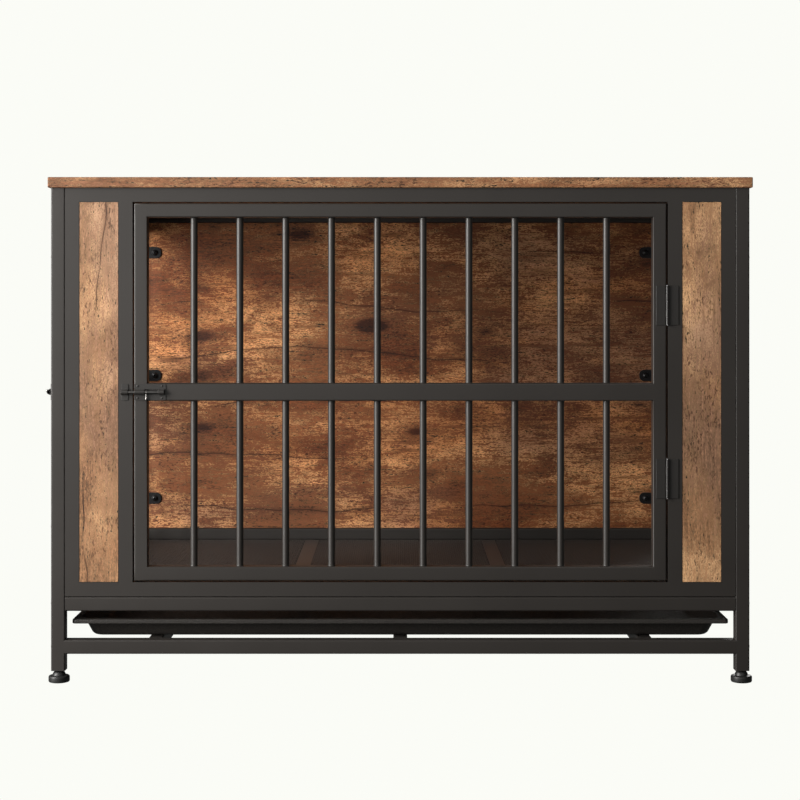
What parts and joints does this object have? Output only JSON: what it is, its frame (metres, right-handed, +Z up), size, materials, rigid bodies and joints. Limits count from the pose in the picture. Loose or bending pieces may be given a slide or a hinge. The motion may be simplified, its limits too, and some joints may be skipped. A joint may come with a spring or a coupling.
{
  "type": "wire dog crate",
  "caption": "Furniture-style dog crate with a board top over a square-tube frame, barred front and side doors with slide bolts, board back, perforated floor, pull-out tray and levelling feet.",
  "frame": {"origin": "on the ground, under the middle of the crate", "axes": "+X to the right along the crate's width, -Y out of the front door, +Z up"},
  "size_m": [1.0121, 0.6439, 0.718],
  "materials": {
    "board": "rustic brown wood-grain board, matt, with dark knots and cracks",
    "strip_board": "rustic wood-grain board with upright grain, matt",
    "powder_coat": "fine-textured charcoal powder coat",
    "black_steel": "black painted steel, satin",
    "mesh_steel": "perforated sheet, black powder coat",
    "bolt_steel": "black plated steel, worn bright at the tip",
    "zinc_steel": "zinc plated steel",
    "tray_plastic": "pebbled black plastic",
    "foot_plastic": "smooth black plastic"
  },
  "bodies": {
    "crate": {"top_board": "board", "top_board_tabs": "powder_coat", "top_board_screws": "zinc_steel", "left_side_frame": "powder_coat", "right_side_frame": "powder_coat", "right_side_bars": "powder_coat", "front_frame": "powder_coat", "rear_frame": "powder_coat", "front_base_rail": "powder_coat", "rear_base_rail": "powder_coat", "front_bottom_rail": "powder_coat", "rear_bottom_rail": "powder_coat", "rail_end_nuts": "zinc_steel", "floor_cross_bars": "powder_coat", "floor_sheet": "mesh_steel", "tray_supports": "powder_coat", "back_panel": "board", "back_panel_tabs": "black_steel", "back_panel_bolts": "black_steel", "left_strip": "strip_board", "right_strip": "strip_board", "strip_straps": "powder_coat", "strip_screws": "zinc_steel", "left_frame_bolts": "black_steel", "right_frame_bolts": "black_steel", "foot_plugs": "foot_plastic", "front_hinge_post_leaves": "powder_coat", "front_hinge_pins": "zinc_steel", "front_keeper": "black_steel", "side_hinge_post_leaves": "powder_coat", "side_hinge_pins": "zinc_steel", "side_keeper": "black_steel"},
    "front_door": {"front_door_frame": "powder_coat", "front_door_bars": "powder_coat", "front_hinge_door_leaves": "powder_coat", "front_latch_plate": "black_steel", "front_latch_rivets": "black_steel"},
    "front_bolt": {"front_bolt_rod": "bolt_steel"},
    "front_bolt_handle": {"front_bolt_handle": "bolt_steel"},
    "side_door": {"side_door_frame": "powder_coat", "side_door_bars": "powder_coat", "side_hinge_door_leaves": "powder_coat", "side_latch_plate": "black_steel", "side_latch_rivets": "black_steel"},
    "side_bolt": {"side_bolt_rod": "bolt_steel"},
    "side_bolt_handle": {"side_bolt_handle": "bolt_steel"},
    "tray": {"tray": "tray_plastic"},
    "front_left_foot": {"front_left_foot": "foot_plastic", "front_left_stud": "zinc_steel"},
    "front_right_foot": {"front_right_foot": "foot_plastic", "front_right_stud": "zinc_steel"},
    "rear_left_foot": {"rear_left_foot": "foot_plastic", "rear_left_stud": "zinc_steel"},
    "rear_right_foot": {"rear_right_foot": "foot_plastic", "rear_right_stud": "zinc_steel"}
  },
  "joints": [
    {"name": "front_door_swing", "type": "hinge", "parent": "crate", "child": "front_door", "pos_m": [0.379, -0.318, 0.413], "axis": [0, 0, 1], "range_deg": [0, 170]},
    {"name": "front_bolt_slide", "type": "slide", "parent": "front_door", "child": "front_bolt", "axis": [1, 0, 0], "range_m": [0, 0.0154]},
    {"name": "front_bolt_turn", "type": "hinge", "parent": "front_bolt", "child": "front_bolt_handle", "pos_m": [-0.3601, -0.3193, 0.413], "axis": [-1, 0, 0], "range_deg": [0, 180]},
    {"name": "side_door_swing", "type": "hinge", "parent": "crate", "child": "side_door", "pos_m": [-0.498, 0.295, 0.413], "axis": [0, 0, -1], "range_deg": [0, 170]},
    {"name": "side_bolt_slide", "type": "slide", "parent": "side_door", "child": "side_bolt", "axis": [0, 1, 0], "range_m": [0, 0.0154]},
    {"name": "side_bolt_turn", "type": "hinge", "parent": "side_bolt", "child": "side_bolt_handle", "pos_m": [-0.4993, -0.2761, 0.413], "axis": [0, 1, 0], "range_deg": [-90, 90]},
    {"name": "tray_slide", "type": "slide", "parent": "crate", "child": "tray", "axis": [0, -1, 0], "range_m": [0, 0.55]},
    {"name": "front_left_foot_height", "type": "slide", "parent": "crate", "child": "front_left_foot", "axis": [0, 0, -1], "range_m": [0, 0.012]},
    {"name": "front_right_foot_height", "type": "slide", "parent": "crate", "child": "front_right_foot", "axis": [0, 0, -1], "range_m": [0, 0.012]},
    {"name": "rear_left_foot_height", "type": "slide", "parent": "crate", "child": "rear_left_foot", "axis": [0, 0, -1], "range_m": [0, 0.012]},
    {"name": "rear_right_foot_height", "type": "slide", "parent": "crate", "child": "rear_right_foot", "axis": [0, 0, -1], "range_m": [0, 0.012]}
  ]
}
